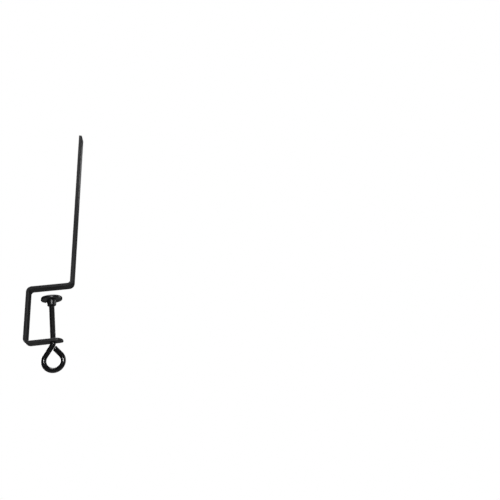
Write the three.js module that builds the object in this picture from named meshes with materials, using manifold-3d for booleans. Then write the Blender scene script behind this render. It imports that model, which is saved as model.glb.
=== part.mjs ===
// Table tennis net clamp: one flat steel bar bent into a C-clamp with a net post, an eye screw and a
// swivelling pressure pad.
//
// Millimetres, +Z up along the screw. The origin is on the underside of the upper arm, where the screw's
// axis meets it: that face sits on the table top, and the table edge slides in from +X. The screw is
// driven in as far as its eye lets it.

import * as THREE from 'three';
import * as BufferGeometryUtils from 'three/addons/utils/BufferGeometryUtils.js';
import Module from 'manifold-3d';

const wasm = await Module();
wasm.setup();

// Flat bar
const BAR_WIDTH = 12;
const BAR_THICKNESS = 3;
const BEND_INSIDE_RADIUS = 2.4;

// Bracket
const NET_HEIGHT = 152.5; // from the table top to the cord hole
const CORD_HOLE_DIAMETER = 4;
const TIP_ABOVE_HOLE = 7;
const POST_FACE_X = 20.85; // net side of the post, at the height of the table seat
const BACK_FACE_X = - 21.7; // outer side of the back, at the same height
const POST_LEAN = THREE.MathUtils.degToRad( 6 ); // towards +X at the top
const BACK_LEAN = THREE.MathUtils.degToRad( 5 ); // the same way
const JAW_HEIGHT = 48.3;
const LOWER_ARM_END_X = 9.2;

// Eye screw
const ROD_DIAMETER = 4.8; // plain wire with an M5 thread cut in it
const RUNNING_GAP = 0.3; // between the rod and the hole or socket around it
const EYE_CENTRE = new THREE.Vector2( - 0.4, - 68.3 );
const EYE_RADIUS = 8.65; // to the middle of the rod
const SHOULDER_ANGLE = THREE.MathUtils.degToRad( 35.5 ); // from the screw's axis to the run that leaves it
const FREE_RUN_ANGLE = THREE.MathUtils.degToRad( 40 ); // from the axis to the run with the cut end
const SHOULDER_BEND_RADIUS = 3.2; // to the middle of the rod
const CUT_END_GAP = 0.7; // between the cut end and the run beside it
const NECK_DIAMETER = 3.2;
const NECK_LENGTH = 1.4;
const TIP_DIAMETER = 4.3;
const TIP_LENGTH = 1.8;
const TIP_CHAMFER = 0.5;

// Pressure pad
const PAD_FACE_Z = - 8;
const FLANGE_DIAMETER = 19.8;
const FLANGE_THICKNESS = 3.2;
const FLANGE_ROUNDING = 1.2;
const HUB_ROOT_DIAMETER = 9; // where the hub meets the flange
const HUB_END_DIAMETER = 8.2;
const HUB_LENGTH = 5.3;
const HUB_ROUNDING = 1.2;
const FACE_THICKNESS = 1.8; // plastic between the pad's face and the end of the screw
const LIP_DIAMETER = 3.9; // the socket's retaining lip, which snaps into the screw's neck

const ROUND_SEGMENTS = 40;
const ROD_SIDES = 20;
const ROD_STEPS = 84;
const OVERCUT = 1; // how far a cutter runs past what it cuts

const barPaint = new THREE.MeshStandardMaterial( { color: 0x202124, roughness: 0.45, metalness: 0.2 } );
const screwPaint = new THREE.MeshStandardMaterial( { color: 0x0c0c0d, roughness: 0.22, metalness: 0.3 } );
const padPlastic = new THREE.MeshStandardMaterial( { color: 0x0e0e10, roughness: 0.3, metalness: 0 } );

function toManifold( geometry ) {

	const bare = geometry.clone();
	bare.deleteAttribute( 'normal' );
	bare.deleteAttribute( 'uv' );
	const merged = BufferGeometryUtils.mergeVertices( bare );
	const mesh = new wasm.Mesh( {
		numProp: 3,
		vertProperties: Float32Array.from( merged.attributes.position.array ),
		triVerts: Uint32Array.from( merged.index.array )
	} );
	return new wasm.Manifold( mesh );

}

function toGeometry( manifold ) {

	const mesh = manifold.getMesh();
	const geometry = new THREE.BufferGeometry();
	geometry.setAttribute( 'position', new THREE.BufferAttribute( mesh.vertProperties, 3 ) );
	geometry.setIndex( new THREE.BufferAttribute( mesh.triVerts, 1 ) );
	geometry.computeVertexNormals();
	return geometry;

}

// A profile of [ radius, height ] points turned about Z.
function turned( profile, segments = ROUND_SEGMENTS ) {

	const points = profile.map( ( [ radius, height ] ) => new THREE.Vector2( radius, height ) );
	return new THREE.LatheGeometry( points, segments ).rotateX( Math.PI / 2 );

}

// Points of a quarter circle in a profile, from one angle to another.
function roundedCorner( centreRadius, centreHeight, radius, fromAngle, toAngle, steps = 6 ) {

	return Array.from( { length: steps + 1 }, ( _, i ) => {

		const angle = THREE.MathUtils.lerp( fromAngle, toAngle, i / steps );
		return [ centreRadius + radius * Math.cos( angle ), centreHeight + radius * Math.sin( angle ) ];

	} );

}

// The outline of a flat bar bent at the inner corners of a path: both faces of a bend share one centre.
function bentBarOutline( path ) {

	const middleRadius = BEND_INSIDE_RADIUS + BAR_THICKNESS / 2;
	const half = BAR_THICKNESS / 2;
	const directions = path.slice( 1 ).map( ( point, i ) => point.clone().sub( path[ i ] ).normalize() );
	const normals = directions.map( ( direction ) => new THREE.Vector2( - direction.y, direction.x ) );
	const bends = path.slice( 1, - 1 ).map( ( corner, i ) => {

		const [ before, after ] = [ directions[ i ], directions[ i + 1 ] ];
		const turn = Math.atan2( before.cross( after ), before.dot( after ) );
		const side = Math.sign( turn );
		const setback = middleRadius * Math.tan( Math.abs( turn ) / 2 );
		const start = corner.clone().addScaledVector( before, - setback );
		return {
			side,
			centre: start.addScaledVector( normals[ i ], side * middleRadius ),
			from: normals[ i ].clone().multiplyScalar( - side ).angle(),
			to: normals[ i + 1 ].clone().multiplyScalar( - side ).angle()
		};

	} );

	const first = normals[ 0 ];
	const last = normals[ normals.length - 1 ];
	const start = path[ 0 ];
	const end = path[ path.length - 1 ];
	const outline = new THREE.Shape();
	outline.moveTo( start.x + first.x * half, start.y + first.y * half );
	const addArc = ( centre, radius, from, to, clockwise ) => {

		outline.lineTo( centre.x + radius * Math.cos( from ), centre.y + radius * Math.sin( from ) );
		outline.absarc( centre.x, centre.y, radius, from, to, clockwise );

	};

	for ( const { side, centre, from, to } of bends ) {

		addArc( centre, middleRadius - side * half, from, to, side < 0 );

	}

	outline.lineTo( end.x + last.x * half, end.y + last.y * half );
	outline.lineTo( end.x - last.x * half, end.y - last.y * half );
	for ( const { side, centre, from, to } of bends.toReversed() ) {

		addArc( centre, middleRadius + side * half, to, from, side > 0 );

	}

	outline.lineTo( start.x - first.x * half, start.y - first.y * half );
	return outline;

}

// The bar's middle line in X and Z: tip of the post, upper arm, back, end of the lower arm.
function bracketPath() {

	const half = BAR_THICKNESS / 2;
	const postX = ( z ) => POST_FACE_X - half / Math.cos( POST_LEAN ) + Math.tan( POST_LEAN ) * z;
	const backX = ( z ) => BACK_FACE_X + half / Math.cos( BACK_LEAN ) + Math.tan( BACK_LEAN ) * z;
	const tipZ = NET_HEIGHT + TIP_ABOVE_HOLE * Math.cos( POST_LEAN );
	const lowerZ = - JAW_HEIGHT - half;
	return [
		new THREE.Vector2( postX( tipZ ), tipZ ),
		new THREE.Vector2( postX( half ), half ),
		new THREE.Vector2( backX( half ), half ),
		new THREE.Vector2( backX( lowerZ ), lowerZ ),
		new THREE.Vector2( LOWER_ARM_END_X, lowerZ )
	];

}

function makeBracket() {

	const path = bracketPath();
	const bar = new THREE.ExtrudeGeometry( bentBarOutline( path ), {
		depth: BAR_WIDTH,
		bevelEnabled: false,
		curveSegments: 12
	} );
	bar.rotateX( Math.PI / 2 ).translate( 0, BAR_WIDTH / 2, 0 );

	const [ tip, postFoot ] = path;
	const postDirection = tip.clone().sub( postFoot ).normalize();
	const hole = tip.clone().addScaledVector( postDirection, - TIP_ABOVE_HOLE );
	const radius = CORD_HOLE_DIAMETER / 2;
	const length = BAR_THICKNESS + 2 * OVERCUT;
	const cordHole = new THREE.CylinderGeometry( radius, radius, length, ROUND_SEGMENTS );
	cordHole.rotateZ( Math.PI / 2 ).rotateY( POST_LEAN ).translate( hole.x, 0, hole.y );

	const armDepth = BAR_THICKNESS + 2 * OVERCUT;
	const armZ = path[ path.length - 1 ].y;
	const screwRadius = ROD_DIAMETER / 2 + RUNNING_GAP;
	const screwHole = new THREE.CylinderGeometry( screwRadius, screwRadius, armDepth, ROUND_SEGMENTS );
	screwHole.rotateX( Math.PI / 2 ).translate( 0, 0, armZ );

	// The arm ends in a half circle: what lies outside it is cut away.
	const endRadius = BAR_WIDTH / 2;
	const endCentreX = LOWER_ARM_END_X - endRadius;
	const endRound = new THREE.CylinderGeometry( endRadius, endRadius, armDepth + OVERCUT, ROUND_SEGMENTS * 2 );
	endRound.rotateX( Math.PI / 2 ).translate( endCentreX, 0, armZ );
	const endBlock = new THREE.BoxGeometry( endRadius + OVERCUT, BAR_WIDTH + 2 * OVERCUT, armDepth );
	endBlock.translate( endCentreX + ( endRadius + OVERCUT ) / 2, 0, armZ );
	const endWaste = toManifold( endBlock ).subtract( toManifold( endRound ) );

	const bracket = toManifold( bar )
		.subtract( endWaste )
		.subtract( toManifold( cordHole ) )
		.subtract( toManifold( screwHole ) );
	return toGeometry( bracket );

}

const TIP_END_Z = PAD_FACE_Z - FACE_THICKNESS - RUNNING_GAP;
const NECK_TOP_Z = TIP_END_Z - TIP_LENGTH;
const ROD_TOP_Z = NECK_TOP_Z - NECK_LENGTH;

// Where the eye's bends and straight runs meet, in X and Z: the rod turns off to -X, goes round under itself
// and comes back up on the +X side, where its cut end stops just short of the run it left by.
function eyeCorners() {

	const leave = new THREE.Vector2( - Math.sin( SHOULDER_ANGLE ), - Math.cos( SHOULDER_ANGLE ) );
	const leftNormal = new THREE.Vector2( leave.y, - leave.x );
	const leftTangent = EYE_CENTRE.clone().addScaledVector( leftNormal, EYE_RADIUS );
	const corner = leftTangent.clone().addScaledVector( leave, - leftTangent.x / leave.x );
	const setback = SHOULDER_BEND_RADIUS * Math.tan( SHOULDER_ANGLE / 2 );
	const bendTop = new THREE.Vector2( 0, corner.y + setback );
	const bendEnd = corner.clone().addScaledVector( leave, setback );

	const comeBack = new THREE.Vector2( - Math.sin( FREE_RUN_ANGLE ), Math.cos( FREE_RUN_ANGLE ) );
	const rightNormal = new THREE.Vector2( comeBack.y, - comeBack.x );
	const rightTangent = EYE_CENTRE.clone().addScaledVector( rightNormal, EYE_RADIUS );
	const approach = comeBack.dot( leftNormal );
	const sideways = Math.abs( comeBack.dot( leave ) );
	const clearance = EYE_RADIUS - rightTangent.clone().sub( EYE_CENTRE ).dot( leftNormal );
	const stopAt = ROD_DIAMETER / 2 * ( 1 + sideways ) + CUT_END_GAP;
	const cutEnd = rightTangent.clone().addScaledVector( comeBack, ( clearance - stopAt ) / approach );
	return { bendTop, bendEnd, leftTangent, rightTangent, cutEnd };

}

// An arc in the XZ plane as a curve in space.
class ArcXZ extends THREE.Curve {

	constructor( centre, radius, fromAngle, toAngle ) {

		super();
		Object.assign( this, { centre, radius, fromAngle, toAngle } );

	}

	getPoint( t, target = new THREE.Vector3() ) {

		const angle = THREE.MathUtils.lerp( this.fromAngle, this.toAngle, t );
		return target.set(
			this.centre.x + this.radius * Math.cos( angle ),
			0,
			this.centre.y + this.radius * Math.sin( angle )
		);

	}

}

function bentRod( route ) {

	const section = new THREE.Shape();
	section.absarc( 0, 0, ROD_DIAMETER / 2, 0, 2 * Math.PI );
	return new THREE.ExtrudeGeometry( section, {
		extrudePath: route,
		steps: ROD_STEPS,
		curveSegments: ROD_SIDES / 2 // a full circle has two sides for each segment asked for
	} );

}

function makeEyeScrew() {

	const { bendTop, bendEnd, leftTangent, rightTangent, cutEnd } = eyeCorners();
	const inSpace = ( point ) => new THREE.Vector3( point.x, 0, point.y );
	const bendCentre = new THREE.Vector2( - SHOULDER_BEND_RADIUS, bendTop.y );
	const route = new THREE.CurvePath();
	route.add( new THREE.LineCurve3( new THREE.Vector3( 0, 0, ROD_TOP_Z ), inSpace( bendTop ) ) );
	route.add( new ArcXZ( bendCentre, SHOULDER_BEND_RADIUS, 0, - SHOULDER_ANGLE ) );
	route.add( new THREE.LineCurve3( inSpace( bendEnd ), inSpace( leftTangent ) ) );
	route.add( new ArcXZ( EYE_CENTRE, EYE_RADIUS, Math.PI - SHOULDER_ANGLE, 2 * Math.PI + FREE_RUN_ANGLE ) );
	route.add( new THREE.LineCurve3( inSpace( rightTangent ), inSpace( cutEnd ) ) );

	const neckRadius = NECK_DIAMETER / 2;
	const tipRadius = TIP_DIAMETER / 2;
	const tip = turned( [
		[ 0, ROD_TOP_Z - OVERCUT ],
		[ neckRadius, ROD_TOP_Z - OVERCUT ],
		[ neckRadius, NECK_TOP_Z ],
		[ tipRadius, NECK_TOP_Z ],
		[ tipRadius, TIP_END_Z - TIP_CHAMFER ],
		[ tipRadius - TIP_CHAMFER, TIP_END_Z ],
		[ 0, TIP_END_Z ]
	] );
	return toGeometry( toManifold( bentRod( route ) ).add( toManifold( tip ) ) );

}

function makePad() {

	const flangeRadius = FLANGE_DIAMETER / 2;
	const hubRootRadius = HUB_ROOT_DIAMETER / 2;
	const hubEndRadius = HUB_END_DIAMETER / 2;
	const socketRadius = ROD_DIAMETER / 2 + RUNNING_GAP;
	const lipRadius = LIP_DIAMETER / 2;
	const flangeBottomZ = PAD_FACE_Z - FLANGE_THICKNESS;
	const hubBottomZ = flangeBottomZ - HUB_LENGTH;
	const lipTopZ = NECK_TOP_Z - RUNNING_GAP;
	const lipBottomZ = ROD_TOP_Z + RUNNING_GAP;
	const socketEndZ = TIP_END_Z + RUNNING_GAP;
	const rim = FLANGE_ROUNDING;
	return turned( [
		[ 0, PAD_FACE_Z ],
		...roundedCorner( flangeRadius - rim, PAD_FACE_Z - rim, rim, Math.PI / 2, 0 ),
		...roundedCorner( flangeRadius - rim, flangeBottomZ + rim, rim, 0, - Math.PI / 2 ),
		[ hubRootRadius, flangeBottomZ ],
		...roundedCorner( hubEndRadius - HUB_ROUNDING, hubBottomZ + HUB_ROUNDING, HUB_ROUNDING, 0, - Math.PI / 2 ),
		[ socketRadius, hubBottomZ ],
		[ socketRadius, lipBottomZ ],
		[ lipRadius, lipBottomZ ],
		[ lipRadius, lipTopZ ],
		[ socketRadius, lipTopZ ],
		[ socketRadius, socketEndZ ],
		[ 0, socketEndZ ]
	].reverse() );

}

function named( name, geometry, material ) {

	const mesh = new THREE.Mesh( geometry, material );
	mesh.name = name;
	return mesh;

}

const netClamp = new THREE.Group();
netClamp.add( named( 'bent_bracket', makeBracket(), barPaint ) );
netClamp.add( named( 'eye_screw', makeEyeScrew(), screwPaint ) );
netClamp.add( named( 'pressure_pad', makePad(), padPlastic ) );

export default netClamp;
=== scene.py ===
"""Looks of the table tennis net clamp: a painted bent bar, an eye screw and a plastic pressure pad.

The pieces and the camera's place are given in millimetres. The meshes, the lights, the floor and the
materials' distances are in metres. The frame is the CAD's: +Z up along the screw, origin on the underside
of the upper arm.
"""

import math

import bmesh
import bpy
from mathutils import Matrix, Vector


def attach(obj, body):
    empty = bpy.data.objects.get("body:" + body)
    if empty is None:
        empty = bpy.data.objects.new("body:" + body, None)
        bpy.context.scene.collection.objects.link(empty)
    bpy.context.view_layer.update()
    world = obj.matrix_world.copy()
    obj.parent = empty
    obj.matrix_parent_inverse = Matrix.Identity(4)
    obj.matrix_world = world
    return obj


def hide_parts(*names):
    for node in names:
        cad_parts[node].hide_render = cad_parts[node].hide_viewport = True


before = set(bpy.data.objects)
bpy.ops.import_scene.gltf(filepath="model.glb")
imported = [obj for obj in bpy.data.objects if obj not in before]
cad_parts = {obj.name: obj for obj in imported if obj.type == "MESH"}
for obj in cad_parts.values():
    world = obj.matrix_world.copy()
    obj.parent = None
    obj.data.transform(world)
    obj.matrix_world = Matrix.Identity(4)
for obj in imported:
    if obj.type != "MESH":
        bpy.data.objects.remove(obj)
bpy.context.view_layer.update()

MM = 0.001
FACET_ALLOWANCE = 0.002  # the smooth outlines stay this much inside the CAD part's faceted ones
WELD_DISTANCE = 0.002  # points closer than this become one
ON_AXIS = 1e-6  # points this close to the bar's middle count as on it

# Flat bar
BAR_WIDTH = 12.0
BAR_THICKNESS = 3.0
BAR_EDGE_RADIUS = 0.45
BEND_INSIDE_RADIUS = 2.4
BEND_SPREAD = 0.22  # widening of both faces of a bend, each side: 0.15 once the edges are rounded
TIP_ROLLOVER = 1.1  # rounding that the shear leaves on the net side of the tip
TIP_EDGE_SHARE = 0.9  # how much of the bar's edge rounding the tip's rounding takes up
END_ROLLOVER = 1.9  # rounding of the upper edge of the lower arm's end
END_DROOP = 0.45  # how far the lower arm's end is bent down

# Bracket
NET_HEIGHT = 152.5  # from the table top to the cord hole
CORD_HOLE_DIAMETER = 4.0
TIP_ABOVE_HOLE = 7.0
POST_FACE_X = 20.85
BACK_FACE_X = -21.7
POST_LEAN = math.radians(6)
BACK_LEAN = math.radians(5)
JAW_HEIGHT = 48.3
LOWER_ARM_END_X = 9.2
TAPPED_HOLE_DIAMETER = 5.4  # at its mouths
HOLE_EDGE = 0.3  # how far the cord hole's mouths flare
MOUTH_CURVE = (0.3, 0.4)  # a point on the flare: out from the hole and in from the face, as shares of it
HOLE_OVERCUT = 1.0  # how far the cutters reach past the bar's faces
TAPPED_OVERCUT = 0.8

# Eye screw
ROD_DIAMETER = 4.8
EYE_CENTRE = Vector((-0.4, -68.3))
EYE_RADIUS = 8.65
SHOULDER_ANGLE = math.radians(35.5)
FREE_RUN_ANGLE = math.radians(40)
SHOULDER_BEND_RADIUS = 3.2
CUT_END_GAP = 0.7  # between a square cut end and the run beside it
CUT_END_REACH = 0.6  # how far the slanted end's middle reaches past a square one
CUT_END_RUN = 3.0  # length of the rod's last stretch, over which the slant builds up
CUT_END_ROUNDING = 0.35
CUT_END_BURR = 0.14  # how far the shear spreads the rod's end
CUT_END_BURR_RUN = 1.8
# Places of the last stretch's rings, closer together towards the end
CUT_END_DEPTHS = (3.0, 2.6, 2.2, 1.8, 1.4, 1.0, 0.7, 0.5, 0.35, 0.25, 0.16, 0.08, 0.03, 0.0)

# Thread: rolled, so its crest stands a little proud of the wire
THREAD_PITCH = 0.8
THREAD_CREST_RADIUS = 2.5
THREAD_DEPTH = 0.4
THREAD_CREST_END = 0.18  # share of the groove's wave that stays on the crest
THREAD_FLANK = 0.72  # share of the wave between the crest and the root
THREAD_END_Z = -51.8
THREAD_FADE = 0.5
THREAD_CLEARANCE = 0.12

# Snap fit between the screw's tip and the pad's socket
TIP_END_Z = -10.1
TIP_MIDDLE_RADIUS = 0.05  # of the small face that closes the tip
TIP_RADIUS = 2.15
TIP_ROUNDING = 0.5
NECK_TOP_Z = -11.9
NECK_RADIUS = 1.6
NECK_FILLET = 0.2
NECK_STEP = 0.1  # height over which the neck widens into the rod
ROD_TOP_Z = -13.3
LEAD_RADIUS = 1.95  # of the rod where its thread starts, below the neck
LEAD_LENGTH = 0.8
SOCKET_RADIUS = 2.7
SOCKET_CHAMFER = 0.15
LIP_RADIUS = 1.95
LIP_CHAMFER = 0.1
RUNNING_GAP = 0.3

# Pressure pad
PAD_FACE_Z = -8.0
FLANGE_RADIUS = 9.9
FLANGE_THICKNESS = 3.2
FLANGE_ROUNDING = 1.2
FLAT_MARGIN = 2.4  # from the flange's edge to the flat of its face
DIMPLE = [(0, 0.35), (1.0, 0.35), (1.5, 0.3), (1.9, 0.05), (2.2, 0)]  # (radius, depth) in the pad's face
HUB_ROOT_RADIUS = 4.5
HUB_END_RADIUS = 4.1
HUB_LENGTH = 5.3
HUB_FILLET = 0.5
HUB_ROUNDING = 1.2

# Fineness of the meshes
EDGE_STEPS = 5  # along each rounded edge of the bar's section
WIDE_SIDE_STEPS = 28
NARROW_SIDE_STEPS = 4
STRAIGHT_STEP = 1.5
TIP_STEPS = 9
BEND_STEPS = 20
ARM_END_STEPS = 36
TURNED_SIDES = 96
ROD_SIDES = 64
THREAD_STEPS = 14  # in each pitch of the rod's thread
HOLE_THREAD_STEPS = 12
SHOULDER_STEPS = 16
RUN_STEPS = 8
EYE_STEPS = 120
CURVE_STEPS = 8  # along a large rounding of the pad
FILLET_STEPS = 5
SMALL_FILLET_STEPS = 3

# Camera
CAMERA_AZIMUTH = math.radians(-9.34)
CAMERA_ELEVATION = math.radians(-18.91)
CAMERA_ROLL = math.radians(-8.34)
ORIGIN_IN_CAMERA = Vector((-187.93, -37.00, -614.00))  # right, up and back, in millimetres
LENS = 46.8
SENSOR_WIDTH = 36.0
CLIP_START = 0.01
CLIP_END = 50.0

# Stage
FLOOR_Z = -0.5
FLOOR_RADIUS = 1.15
FLOOR_SIDES = 96
FLOOR_ROUGHNESS = 0.9
FLOOR_BOUNCE = 0.2  # how light the floor is to the object, less than to the camera: black stays black
WORLD_BOUNCE = 0.05  # the same for the white world
LIGHTS = [  # name, place, target, size, power
    ("top_light", (-0.2, 0.2, 1.5), (0, 0, 0), 1.6, 58),
    ("back_light", (-0.5, 0.8, 0.35), (0, 0, 0), 0.6, 7),
    ("side_light", (1.0, 0.25, 0.1), (0, 0, 0.05), 0.6, 3),
    ("rim_light", (0.114, 0.225, 0.227), (0.036, 0, 0.155), 0.08, 0.02),
    ("tip_light", (0.015, -0.222, 0.279), (0.036, 0, 0.155), 0.1, 0.11),
    ("front_light", (0.14, -0.66, 0.06), (0, 0, -0.06), 0.08, 2.0),
]


def link(name, mesh):
    """A new object with this mesh, in the scene."""
    obj = bpy.data.objects.new(name, mesh)
    bpy.context.scene.collection.objects.link(obj)
    return obj


def mesh_from(name, points, faces, weld=False):
    """A smooth shaded mesh from points in millimetres and faces as tuples of point numbers."""
    mesh = bpy.data.meshes.new(name)
    mesh.from_pydata([tuple(c * MM for c in p) for p in points], [], faces)
    mesh.update()
    mesh.validate()
    bm = bmesh.new()
    bm.from_mesh(mesh)
    if weld:
        bmesh.ops.remove_doubles(bm, verts=bm.verts, dist=WELD_DISTANCE * MM)
    bmesh.ops.recalc_face_normals(bm, faces=bm.faces)
    for face in bm.faces:
        face.smooth = True
    bm.to_mesh(mesh)
    bm.free()
    return mesh


def bridge(count, first, second, closed=True):
    """Quads between two rings of points that start at these numbers."""
    last = count if closed else count - 1
    return [
        (first + i, first + (i + 1) % count, second + (i + 1) % count, second + i)
        for i in range(last)
    ]


def swept(name, rings):
    """A closed tube through rings of points that all have the same count."""
    count = len(rings[0])
    points = [p for ring in rings for p in ring]
    faces = []
    for i in range(len(rings) - 1):
        faces += bridge(count, i * count, (i + 1) * count)
    faces.append(tuple(range(count)))
    faces.append(tuple(range((len(rings) - 1) * count, len(rings) * count)))
    return mesh_from(name, points, faces)


def turned(name, profile, sides=TURNED_SIDES):
    """A profile of (radius, height) pairs turned about Z. Pairs on the axis close it."""
    points = []
    rows = []
    for radius, height in profile:
        if radius == 0:
            rows.append([len(points)])
            points.append((0.0, 0.0, height))
            continue
        rows.append(list(range(len(points), len(points) + sides)))
        points += level_ring(radius, height, sides)
    faces = []
    for low, high in zip(rows, rows[1:]):
        for k in range(sides):
            corners = (
                low[k % len(low)],
                low[(k + 1) % len(low)],
                high[(k + 1) % len(high)],
                high[k % len(high)],
            )
            face = tuple(dict.fromkeys(corners))
            if len(face) > 2:
                faces.append(face)
    return mesh_from(name, points, faces)


def level_ring(radius, height, sides=ROD_SIDES):
    """Points of a circle about Z."""
    return [(radius * math.cos(a), radius * math.sin(a), height) for a in ring_angles(sides)]


def ring_angles(sides=ROD_SIDES):
    return [2 * math.pi * k / sides for k in range(sides)]


def arc_points(centre, radius, start, end, steps):
    """Points of a profile's rounded corner, both ends included."""
    angles = [start + (end - start) * i / steps for i in range(steps + 1)]
    return [(centre[0] + radius * math.cos(a), centre[1] + radius * math.sin(a)) for a in angles]


def smoothstep(value):
    """0 below 0, 1 above 1, and an S curve between."""
    value = min(max(value, 0.0), 1.0)
    return value * value * (3 - 2 * value)


def rounding_inset(radius, depth):
    """How far a quarter round of this radius has drawn in, this far from the face where it ends."""
    if depth >= radius:
        return 0.0
    return radius - math.sqrt(max(radius**2 - (radius - depth) ** 2, 0.0))


def rotated(vector, angle):
    c, s = math.cos(angle), math.sin(angle)
    return Vector((vector.x * c - vector.y * s, vector.x * s + vector.y * c))


# Bracket: a rounded flat bar swept along straight runs and bends


def bracket_corners():
    """The bar's middle line in X and Z: tip of the post, its foot, both ends of the back, end of the arm."""
    half = BAR_THICKNESS / 2

    def post_x(z):
        return POST_FACE_X - half / math.cos(POST_LEAN) + math.tan(POST_LEAN) * z

    def back_x(z):
        return BACK_FACE_X + half / math.cos(BACK_LEAN) + math.tan(BACK_LEAN) * z

    tip_z = NET_HEIGHT + TIP_ABOVE_HOLE * math.cos(POST_LEAN)
    lower_z = -JAW_HEIGHT - half
    return [
        Vector((post_x(tip_z), tip_z)),
        Vector((post_x(half), half)),
        Vector((back_x(half), half)),
        Vector((back_x(lower_z), lower_z)),
        Vector((LOWER_ARM_END_X, lower_z)),
    ]


def straight(start, end, direction):
    """Stations of a straight run, about STRAIGHT_STEP apart."""
    length = (end - start).length
    count = max(2, int(length / STRAIGHT_STEP))
    return [(start + direction * (length * i / count), direction, 0.0) for i in range(count + 1)]


def tip_stations(start, direction):
    """Stations close together where the tip is rounded."""
    depths = [TIP_ROLLOVER * (1 - math.cos(math.pi / 2 * i / TIP_STEPS)) for i in range(TIP_STEPS)]
    return [(start + direction * depth, direction, 0.0) for depth in depths]


def bar_stations(corners):
    """(point, direction, share) along the middle line.

    share is how far into a bend the station is: 0 at its ends and on straight runs, 1 halfway.
    """
    middle = BEND_INSIDE_RADIUS + BAR_THICKNESS / 2
    direction = (corners[1] - corners[0]).normalized()
    stations = tip_stations(corners[0], direction)
    start = corners[0] + direction * TIP_ROLLOVER
    for i in range(1, len(corners) - 1):
        before = (corners[i] - corners[i - 1]).normalized()
        after = (corners[i + 1] - corners[i]).normalized()
        cross = before.x * after.y - before.y * after.x
        turn = math.atan2(cross, before.dot(after))
        side = 1 if turn > 0 else -1  # where the bend's centre is: on the left or on the right
        setback = middle * math.tan(abs(turn) / 2)
        bend_start = corners[i] - before * setback
        normal = Vector((-before.y, before.x))
        centre = bend_start + normal * (side * middle)
        stations += straight(start, bend_start, before)
        for k in range(1, BEND_STEPS):
            angle = turn * k / BEND_STEPS
            radial = rotated(normal * -side, angle)
            share = math.sin(math.pi * k / BEND_STEPS)
            stations.append((centre + radial * middle, rotated(before, angle), share))
        start = corners[i] + after * setback
    last_direction = (corners[-1] - corners[-2]).normalized()
    return stations + straight(start, corners[-1], last_direction)


def bar_section(share):
    """The rounded bar's section as (across, through) pairs, squeezed wider at both faces of a bend."""
    half_width = BAR_WIDTH / 2
    half = BAR_THICKNESS / 2 - FACET_ALLOWANCE
    radius = BAR_EDGE_RADIUS
    edges = []
    for quarter, (sx, sy) in enumerate([(1, 1), (-1, 1), (-1, -1), (1, -1)]):
        centre = (sx * (half_width - radius), sy * (half - radius))
        start = quarter * math.pi / 2
        edges.append(arc_points(centre, radius, start, start + math.pi / 2, EDGE_STEPS))
    ring = []
    for edge, following in zip(edges, edges[1:] + edges[:1]):
        ring += edge
        from_across, from_through = edge[-1]
        across_step = following[0][0] - from_across
        through_step = following[0][1] - from_through
        steps = WIDE_SIDE_STEPS if abs(across_step) > abs(through_step) else NARROW_SIDE_STEPS
        for k in range(1, steps):
            part = k / steps
            ring.append((from_across + across_step * part, from_through + through_step * part))
    shaped = []
    for across, through in ring:
        spread = BEND_SPREAD * share * abs(through / half) * abs(across / half_width) ** 3
        shaped.append((across + math.copysign(spread, across), through))
    return shaped


def tip_shape(across, through, depth):
    """A point of the section this far from the sheared tip, whose edges are rounded, the net side's most."""
    half = BAR_THICKNESS / 2
    net_side = (through / half + 1) / 2
    inset = rounding_inset(BAR_EDGE_RADIUS + (TIP_ROLLOVER - BAR_EDGE_RADIUS) * net_side, depth)
    edge = BAR_EDGE_RADIUS * TIP_EDGE_SHARE
    if abs(across) > BAR_WIDTH / 2 - edge:
        across -= math.copysign(min(inset, edge), across)
    if through < 0:
        inset = min(inset, BAR_EDGE_RADIUS)
    return across, through - inset * through / half


def half_round_end(centre_x, centre_z, last_ring):
    """Rings that turn the bar's half section about the end's centre, from one long edge to the other.

    The shear rolls the upper edge over, most at the very end, and the end droops a little.
    """
    half = BAR_THICKNESS / 2
    end_radius = BAR_WIDTH / 2
    profile = [(across, z - centre_z) for _, across, z in last_ring if across >= -ON_AXIS]
    split = min(range(len(profile)), key=lambda i: (abs(profile[i][0]), -profile[i][1]))
    profile = profile[split + 1 :] + profile[: split + 1]
    rings = []
    for j in range(ARM_END_STEPS + 1):
        turn = math.pi / 2 - math.pi * j / ARM_END_STEPS
        rollover = BAR_EDGE_RADIUS + (END_ROLLOVER - BAR_EDGE_RADIUS) * smoothstep(math.cos(turn))
        ring = []
        for radius, height in profile:
            if height > 0:
                height = min(height, half - rounding_inset(rollover, end_radius - radius))
            x = radius * math.cos(turn)
            height -= END_DROOP * (x / end_radius) ** 2
            ring.append((centre_x + x, radius * math.sin(turn), centre_z + height))
        rings.append(ring)
    return rings


def bar_mesh():
    """The bent bar from its square tip to its half round end, without holes."""
    corners = bracket_corners()
    corners[-1] = corners[-1] - Vector((BAR_WIDTH / 2, 0))
    rings = []
    for point, direction, share in bar_stations(corners):
        normal = Vector((-direction.y, direction.x))
        depth = (point - corners[0]).length
        ring = []
        for across, through in bar_section(share):
            if depth < TIP_ROLLOVER:
                across, through = tip_shape(across, through, depth)
            place = point + normal * through
            ring.append((place.x, across, place.y))
        rings.append(ring)
    count = len(rings[0])
    points = [p for ring in rings for p in ring]
    faces = [tuple(range(count))]
    for i in range(len(rings) - 1):
        faces += bridge(count, i * count, (i + 1) * count)
    end_rings = half_round_end(corners[-1].x, corners[-1].y, rings[-1])
    start = len(points)
    end_count = len(end_rings[0])
    points += [p for ring in end_rings for p in ring]
    for j in range(len(end_rings) - 1):
        first = start + j * end_count
        faces += bridge(end_count, first, first + end_count, closed=False)
    return mesh_from("bracket_bar", points, faces, weld=True)


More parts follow.
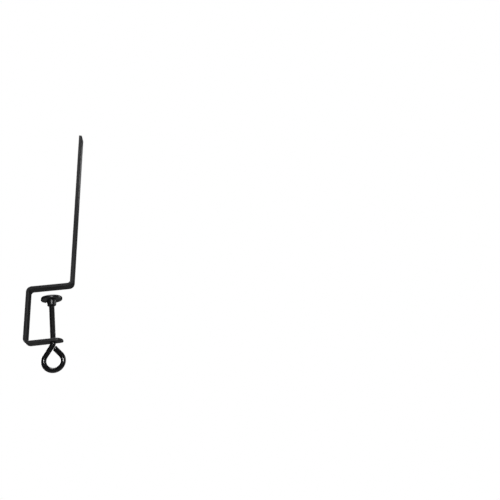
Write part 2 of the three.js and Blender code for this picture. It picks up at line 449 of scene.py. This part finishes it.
def cut(obj, cutter_mesh):
    """Cuts obj by this mesh and keeps the result as its own mesh."""
    cutter = link(cutter_mesh.name, cutter_mesh)
    modifier = obj.modifiers.new("cut", "BOOLEAN")
    modifier.operation = "DIFFERENCE"
    modifier.solver = "EXACT"
    modifier.object = cutter
    bpy.context.view_layer.update()
    evaluated = obj.evaluated_get(bpy.context.evaluated_depsgraph_get())
    mesh = bpy.data.meshes.new_from_object(evaluated)
    obj.modifiers.clear()
    old = obj.data
    obj.data = mesh
    bpy.data.meshes.remove(old)
    bpy.data.objects.remove(cutter)
    bpy.data.meshes.remove(cutter_mesh)


def cord_hole_cutter():
    """A cylinder along Z whose mouths flare by HOLE_EDGE at the bar's faces."""
    radius = CORD_HOLE_DIAMETER / 2
    half = BAR_THICKNESS / 2
    lower = [
        (0, -half - HOLE_OVERCUT),
        (radius + HOLE_EDGE + HOLE_OVERCUT, -half - HOLE_OVERCUT),
        (radius + HOLE_EDGE, -half),
        (radius + HOLE_EDGE * MOUTH_CURVE[0], -half + HOLE_EDGE * MOUTH_CURVE[1]),
        (radius, -half + HOLE_EDGE),
    ]
    upper = [(r, -z) for r, z in reversed(lower)]
    return turned("cord_hole_cutter", lower + upper, ROD_SIDES)


def tapped_hole_cutter(middle_z):
    """The screw's own thread with a little room round it, and flared mouths."""
    half_depth = BAR_THICKNESS / 2
    reach = half_depth + TAPPED_OVERCUT
    count = int(2 * reach / (THREAD_PITCH / HOLE_THREAD_STEPS))
    rings = []
    for i in range(count + 1):
        z = middle_z - reach + 2 * reach * i / count
        from_face = half_depth - abs(z - middle_z)
        mouth = TAPPED_HOLE_DIAMETER / 2 - max(from_face, -TAPPED_OVERCUT)
        ring = []
        for angle in ring_angles():
            radius = max(thread_radius(z, angle) + THREAD_CLEARANCE, mouth)
            ring.append((radius * math.cos(angle), radius * math.sin(angle), z))
        rings.append(ring)
    return swept("tapped_hole_cutter", rings)


def make_bracket():
    obj = link("bracket_bar", bar_mesh())
    tip, foot, _, _, arm_end = bracket_corners()
    hole = tip - (tip - foot).normalized() * TIP_ABOVE_HOLE
    cord_hole = cord_hole_cutter()
    cord_hole.transform(Matrix.Rotation(math.pi / 2 + POST_LEAN, 4, "Y"))
    cord_hole.transform(Matrix.Translation(Vector((hole.x, 0, hole.y)) * MM))
    cut(obj, cord_hole)
    cut(obj, tapped_hole_cutter(arm_end.y))
    return obj


# Eye screw: one rod with a rolled thread, bent into a shoulder and an open eye


def screw_route():
    """Points of the rod's line in X and Z: bend's top and end, both tangent points of the eye, cut end."""
    leave = Vector((-math.sin(SHOULDER_ANGLE), -math.cos(SHOULDER_ANGLE)))
    left_normal = Vector((leave.y, -leave.x))
    left_tangent = EYE_CENTRE + left_normal * EYE_RADIUS
    corner = left_tangent + leave * (-left_tangent.x / leave.x)
    setback = SHOULDER_BEND_RADIUS * math.tan(SHOULDER_ANGLE / 2)
    bend_top = Vector((0, corner.y + setback))
    bend_end = corner + leave * setback
    come_back = Vector((-math.sin(FREE_RUN_ANGLE), math.cos(FREE_RUN_ANGLE)))
    right_normal = Vector((come_back.y, -come_back.x))
    right_tangent = EYE_CENTRE + right_normal * EYE_RADIUS
    approach = come_back.dot(left_normal)
    sideways = abs(come_back.dot(leave))
    clearance = EYE_RADIUS - (right_tangent - EYE_CENTRE).dot(left_normal)
    stop_at = ROD_DIAMETER / 2 * (1 + sideways) + CUT_END_GAP
    cut_end = right_tangent + come_back * ((clearance - stop_at) / approach)
    return bend_top, bend_end, left_tangent, right_tangent, cut_end


def rod_line():
    """(point, direction) along the rod below the thread: shoulder, left run, eye, free run."""
    bend_top, bend_end, left_tangent, right_tangent, cut_end = screw_route()
    line = []
    down = Vector((0, -1))
    centre = Vector((-SHOULDER_BEND_RADIUS, bend_top.y))
    for i in range(SHOULDER_STEPS + 1):
        angle = -SHOULDER_ANGLE * i / SHOULDER_STEPS
        point = centre + Vector((math.cos(angle), math.sin(angle))) * SHOULDER_BEND_RADIUS
        line.append((point, rotated(down, angle)))
    leave = rotated(down, -SHOULDER_ANGLE)
    length = (left_tangent - bend_end).length
    for i in range(1, RUN_STEPS):
        line.append((bend_end + leave * (length * i / RUN_STEPS), leave))
    start = math.pi - SHOULDER_ANGLE
    end = 2 * math.pi + FREE_RUN_ANGLE
    for i in range(EYE_STEPS + 1):
        angle = start + (end - start) * i / EYE_STEPS
        radial = Vector((math.cos(angle), math.sin(angle)))
        line.append((EYE_CENTRE + radial * EYE_RADIUS, Vector((-radial.y, radial.x))))
    come_back = (cut_end - right_tangent).normalized()
    length = (cut_end - right_tangent).length - CUT_END_RUN
    for i in range(1, RUN_STEPS + 1):
        line.append((right_tangent + come_back * (length * i / RUN_STEPS), come_back))
    return line


def thread_radius(z, angle):
    """The thread's radius at this height and angle: a right-hand helix with rounded crests and roots."""
    phase = (z / THREAD_PITCH - angle / (2 * math.pi)) % 1.0
    wave = 0.5 - 0.5 * math.cos(2 * math.pi * phase)
    groove = smoothstep((wave - THREAD_CREST_END) / THREAD_FLANK)
    return THREAD_CREST_RADIUS - THREAD_DEPTH * groove


def tip_rings():
    """Rings of the screw's rounded tip and the neck under it."""
    quarter = math.pi / 2
    edge = (TIP_RADIUS - TIP_ROUNDING, TIP_END_Z - TIP_ROUNDING)
    shoulder = (TIP_RADIUS - NECK_FILLET, NECK_TOP_Z + NECK_FILLET)
    corner = (NECK_RADIUS + NECK_FILLET, NECK_TOP_Z - NECK_FILLET)
    profile = [(TIP_MIDDLE_RADIUS, TIP_END_Z)]
    profile += arc_points(edge, TIP_ROUNDING, quarter, 0, FILLET_STEPS)
    profile += arc_points(shoulder, NECK_FILLET, 0, -quarter, SMALL_FILLET_STEPS)
    profile += arc_points(corner, NECK_FILLET, quarter, math.pi, SMALL_FILLET_STEPS)
    profile.append((NECK_RADIUS, ROD_TOP_Z + NECK_STEP))
    return [level_ring(radius, z) for radius, z in profile]


def threaded_rings(bottom_z):
    """Rings of the threaded rod from under the neck down to this height, where it is plain."""
    rod_radius = ROD_DIAMETER / 2 - FACET_ALLOWANCE
    length = ROD_TOP_Z - bottom_z
    count = int(length / (THREAD_PITCH / THREAD_STEPS))
    rings = []
    for i in range(count + 1):
        z = ROD_TOP_Z - length * i / (count + 1)
        lead = smoothstep((ROD_TOP_Z - z) / LEAD_LENGTH)
        threaded = smoothstep((z - THREAD_END_Z) / THREAD_FADE)
        ring = []
        for angle in ring_angles():
            full = rod_radius + (thread_radius(z, angle) - rod_radius) * threaded
            radius = LEAD_RADIUS + (full - LEAD_RADIUS) * lead
            ring.append((radius * math.cos(angle), radius * math.sin(angle), z))
        rings.append(ring)
    return rings


def cut_end_rings(end, direction, leave):
    """Rings of the rod's last stretch: sheared parallel to the run beside it, spread a little, rounded."""
    across = Vector((-direction.y, direction.x))
    slope = leave.dot(direction) / leave.dot(across)
    rings = []
    for depth in CUT_END_DEPTHS:
        spread = CUT_END_BURR * smoothstep(1 - depth / CUT_END_BURR_RUN)
        radius = ROD_DIAMETER / 2 + spread - rounding_inset(CUT_END_ROUNDING, depth)
        slant = slope * smoothstep(1 - depth / CUT_END_RUN)
        ring = []
        for angle in ring_angles():
            sideways = radius * math.cos(angle)
            place = end - direction * (depth - slant * sideways) + across * sideways
            ring.append((place.x, radius * math.sin(angle), place.y))
        rings.append(ring)
    return rings


def make_screw():
    bend_top, _, _, _, cut_end = screw_route()
    rod_radius = ROD_DIAMETER / 2 - FACET_ALLOWANCE
    rings = tip_rings() + threaded_rings(bend_top.y)
    line = rod_line()
    for point, direction in line:
        across = Vector((-direction.y, direction.x))
        ring = []
        for angle in ring_angles():
            place = point + across * (rod_radius * math.cos(angle))
            ring.append((place.x, rod_radius * math.sin(angle), place.y))
        rings.append(ring)
    come_back = line[-1][1]
    leave = rotated(Vector((0, -1)), -SHOULDER_ANGLE)
    rings += cut_end_rings(cut_end + come_back * CUT_END_REACH, come_back, leave)
    return link("eye_screw_rod", swept("eye_screw_rod", rings))


# Pressure pad: one turned moulding with a snap socket


def make_pad():
    low = PAD_FACE_Z - FLANGE_THICKNESS
    end = low - HUB_LENGTH
    rim = FLANGE_ROUNDING
    profile = [(radius, PAD_FACE_Z - depth) for radius, depth in DIMPLE]
    profile.append((FLANGE_RADIUS - FLAT_MARGIN, PAD_FACE_Z))
    profile += arc_points((FLANGE_RADIUS - rim, PAD_FACE_Z - rim), rim, math.pi / 2, 0, CURVE_STEPS)
    profile += arc_points((FLANGE_RADIUS - rim, low + rim), rim, 0, -math.pi / 2, CURVE_STEPS)
    profile += arc_points(
        (HUB_ROOT_RADIUS + HUB_FILLET, low - HUB_FILLET), HUB_FILLET, math.pi / 2, math.pi, FILLET_STEPS
    )
    profile += arc_points(
        (HUB_END_RADIUS - HUB_ROUNDING, end + HUB_ROUNDING), HUB_ROUNDING, 0, -math.pi / 2, CURVE_STEPS
    )
    profile += [
        (SOCKET_RADIUS + SOCKET_CHAMFER, end),
        (SOCKET_RADIUS, end + SOCKET_CHAMFER),
        (SOCKET_RADIUS, ROD_TOP_Z + RUNNING_GAP),
        (LIP_RADIUS, ROD_TOP_Z + RUNNING_GAP + LIP_CHAMFER),
        (LIP_RADIUS, NECK_TOP_Z - RUNNING_GAP - LIP_CHAMFER),
        (SOCKET_RADIUS, NECK_TOP_Z - RUNNING_GAP),
        (SOCKET_RADIUS, TIP_END_Z + RUNNING_GAP),
        (0, TIP_END_Z + RUNNING_GAP),
    ]
    return link("pressure_pad_moulding", turned("pressure_pad_moulding", profile))


# Materials


def grey(value, blue=0.001):
    """A grey with this much added to its blue."""
    return (value, value, value + blue)


class Nodes:
    """Short ways to add and join the nodes of one material."""

    def __init__(self, name):
        self.material = bpy.data.materials.new(name)
        self.material.use_nodes = True
        self.tree = self.material.node_tree
        self.shader = self.tree.nodes["Principled BSDF"]
        coordinates = self.tree.nodes.new("ShaderNodeTexCoord")
        self.place = coordinates.outputs["Object"]

    def link(self, source, target):
        self.tree.links.new(source, target)

    def drive(self, source, socket):
        """Joins a node's output to one of the shader's inputs."""
        self.link(source, self.shader.inputs[socket])

    def noise(self, scale, detail):
        node = self.tree.nodes.new("ShaderNodeTexNoise")
        node.inputs["Scale"].default_value = scale
        node.inputs["Detail"].default_value = detail
        self.link(self.place, node.inputs["Vector"])
        return node.outputs["Fac"]

    def ramp(self, source, low, high):
        """The source turned into colours between low and high."""
        node = self.tree.nodes.new("ShaderNodeValToRGB")
        stops = [(0.3, low), (0.7, high)]  # noise seldom leaves this range
        for element, (position, colour) in zip(node.color_ramp.elements, stops):
            element.position = position
            element.color = (*colour, 1.0)
        self.link(source, node.inputs["Fac"])
        return node.outputs["Color"]

    def spread(self, source, low, high):
        """The source's 0 to 1 turned into low to high."""
        node = self.tree.nodes.new("ShaderNodeMapRange")
        node.inputs["To Min"].default_value = low
        node.inputs["To Max"].default_value = high
        self.link(source, node.inputs["Value"])
        return node.outputs["Result"]

    def above(self, low, high):
        """0 below the height low, 1 above the height high."""
        parts = self.tree.nodes.new("ShaderNodeSeparateXYZ")
        self.link(self.place, parts.inputs["Vector"])
        node = self.tree.nodes.new("ShaderNodeMapRange")
        node.inputs["From Min"].default_value = low
        node.inputs["From Max"].default_value = high
        self.link(parts.outputs["Z"], node.inputs["Value"])
        return node.outputs["Result"]

    def mix(self, share, first, second):
        """first where share is 0, second where it is 1."""
        node = self.tree.nodes.new("ShaderNodeMix")
        self.link(share, node.inputs["Factor"])
        self.link(first, node.inputs["A"])
        self.link(second, node.inputs["B"])
        return node.outputs["Result"]

    def bump(self, source, distance, strength, under=None):
        """A bump of this height, on top of another bump if there is one."""
        node = self.tree.nodes.new("ShaderNodeBump")
        node.inputs["Distance"].default_value = distance
        node.inputs["Strength"].default_value = strength
        self.link(source, node.inputs["Height"])
        if under:
            self.link(under, node.inputs["Normal"])
        return node.outputs["Normal"]


def bar_paint():
    """Satin black paint, with the fine waves and grain of a sprayed coat."""
    n = Nodes("bar_paint")
    n.drive(n.ramp(n.noise(scale=90, detail=3), grey(0.011), grey(0.018)), "Base Color")
    n.drive(n.spread(n.noise(scale=420, detail=3), low=0.36, high=0.48), "Roughness")
    waves = n.bump(n.noise(scale=700, detail=1.5), distance=0.00006, strength=0.5)
    grain = n.bump(n.noise(scale=2600, detail=2), distance=0.00002, strength=0.5, under=waves)
    n.drive(grain, "Normal")
    n.shader.inputs["Specular IOR Level"].default_value = 0.25
    return n.material


def screw_finish():
    """Glossy black coat on the eye and the shoulder, dull on the rolled thread."""
    n = Nodes("screw_finish")
    n.drive(n.ramp(n.noise(scale=160, detail=2), grey(0.005), grey(0.009)), "Base Color")
    speckle = n.noise(scale=500, detail=3)
    on_thread = n.above((THREAD_END_Z - THREAD_FADE) * MM, THREAD_END_Z * MM)
    glossy = n.spread(speckle, low=0.09, high=0.15)
    dull = n.spread(speckle, low=0.5, high=0.65)
    n.drive(n.mix(on_thread, glossy, dull), "Roughness")
    n.drive(n.bump(n.noise(scale=420, detail=1.5), distance=0.00008, strength=0.35), "Normal")
    n.shader.inputs["Specular IOR Level"].default_value = 0.4
    return n.material


def pad_plastic():
    """Black moulded plastic, half glossy."""
    n = Nodes("pad_plastic")
    n.drive(n.ramp(n.noise(scale=120, detail=2), grey(0.006), grey(0.010)), "Base Color")
    n.drive(n.spread(n.noise(scale=600, detail=3), low=0.26, high=0.38), "Roughness")
    n.drive(n.bump(n.noise(scale=1500, detail=2), distance=0.00002, strength=0.4), "Normal")
    return n.material


def floor_material():
    """Pale to the camera, and FLOOR_BOUNCE to the light that reaches the object."""
    n = Nodes("floor")
    pale = n.ramp(n.noise(scale=6, detail=2), grey(0.80, blue=0), grey(0.82, blue=0))
    path = n.tree.nodes.new("ShaderNodeLightPath")
    mix = n.tree.nodes.new("ShaderNodeMix")
    mix.data_type = "RGBA"
    mix.inputs["A"].default_value = (*grey(FLOOR_BOUNCE, blue=0), 1.0)
    n.link(path.outputs["Is Camera Ray"], mix.inputs["Factor"])
    n.link(pale, mix.inputs["B"])
    n.drive(mix.outputs["Result"], "Base Color")
    n.shader.inputs["Roughness"].default_value = FLOOR_ROUGHNESS
    return n.material


def finish_piece(obj, material, body, node):
    """Gives a piece its material, hangs it on its body's empty and hides the CAD part that it replaces."""
    obj.data.materials.clear()
    obj.data.materials.append(material)
    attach(obj, body)
    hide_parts(node)


# Camera, floor and light


def make_camera():
    back = Vector(
        (
            math.sin(CAMERA_AZIMUTH) * math.cos(CAMERA_ELEVATION),
            -math.cos(CAMERA_AZIMUTH) * math.cos(CAMERA_ELEVATION),
            math.sin(CAMERA_ELEVATION),
        )
    )
    right = Vector((math.cos(CAMERA_AZIMUTH), math.sin(CAMERA_AZIMUTH), 0))
    up = back.cross(right)
    x_axis = right * math.cos(CAMERA_ROLL) + up * math.sin(CAMERA_ROLL)
    y_axis = up * math.cos(CAMERA_ROLL) - right * math.sin(CAMERA_ROLL)
    offset = ORIGIN_IN_CAMERA
    place = -(x_axis * offset.x + y_axis * offset.y + back * offset.z) * MM
    rotation = Matrix((x_axis, y_axis, back)).transposed().to_4x4()
    data = bpy.data.cameras.new("camera")
    data.lens = LENS
    data.sensor_width = SENSOR_WIDTH
    data.clip_start = CLIP_START
    data.clip_end = CLIP_END
    camera = bpy.data.objects.new("camera", data)
    bpy.context.scene.collection.objects.link(camera)
    camera.matrix_world = Matrix.Translation(place) @ rotation
    bpy.context.scene.camera = camera


def make_floor():
    rim = level_ring(FLOOR_RADIUS, FLOOR_Z, FLOOR_SIDES)
    mesh = bpy.data.meshes.new("floor")
    mesh.from_pydata(rim, [], [tuple(range(FLOOR_SIDES))])
    floor = link("floor", mesh)
    floor.data.materials.append(floor_material())


def make_world():
    """White to the camera, and WORLD_BOUNCE to the object."""
    world = bpy.data.worlds.new("world")
    world.use_nodes = True
    bpy.context.scene.world = world
    tree = world.node_tree
    seen = tree.nodes["Background"]
    seen.inputs["Color"].default_value = (1.0, 1.0, 1.0, 1.0)
    around = tree.nodes.new("ShaderNodeBackground")
    around.inputs["Color"].default_value = (1.0, 1.0, 1.0, 1.0)
    around.inputs["Strength"].default_value = WORLD_BOUNCE
    path = tree.nodes.new("ShaderNodeLightPath")
    mix = tree.nodes.new("ShaderNodeMixShader")
    tree.links.new(path.outputs["Is Camera Ray"], mix.inputs["Fac"])
    tree.links.new(around.outputs["Background"], mix.inputs[1])
    tree.links.new(seen.outputs["Background"], mix.inputs[2])
    tree.links.new(mix.outputs["Shader"], tree.nodes["World Output"].inputs["Surface"])


def area_light(name, place, target, size, power):
    """A square soft light at place that faces target and that the camera doesn't see."""
    data = bpy.data.lights.new(name, "AREA")
    data.energy = power
    data.size = size
    obj = bpy.data.objects.new(name, data)
    bpy.context.scene.collection.objects.link(obj)
    place = Vector(place)
    turn = (Vector(target) - place).to_track_quat("-Z", "Y").to_matrix().to_4x4()
    obj.matrix_world = Matrix.Translation(place) @ turn
    obj.visible_camera = False


make_camera()
make_floor()
make_world()
for light in LIGHTS:
    area_light(*light)
bpy.context.scene.view_settings.view_transform = "Standard"

finish_piece(make_bracket(), bar_paint(), "bracket", "bent_bracket")
finish_piece(make_screw(), screw_finish(), "screw", "eye_screw")
finish_piece(make_pad(), pad_plastic(), "pad", "pressure_pad")
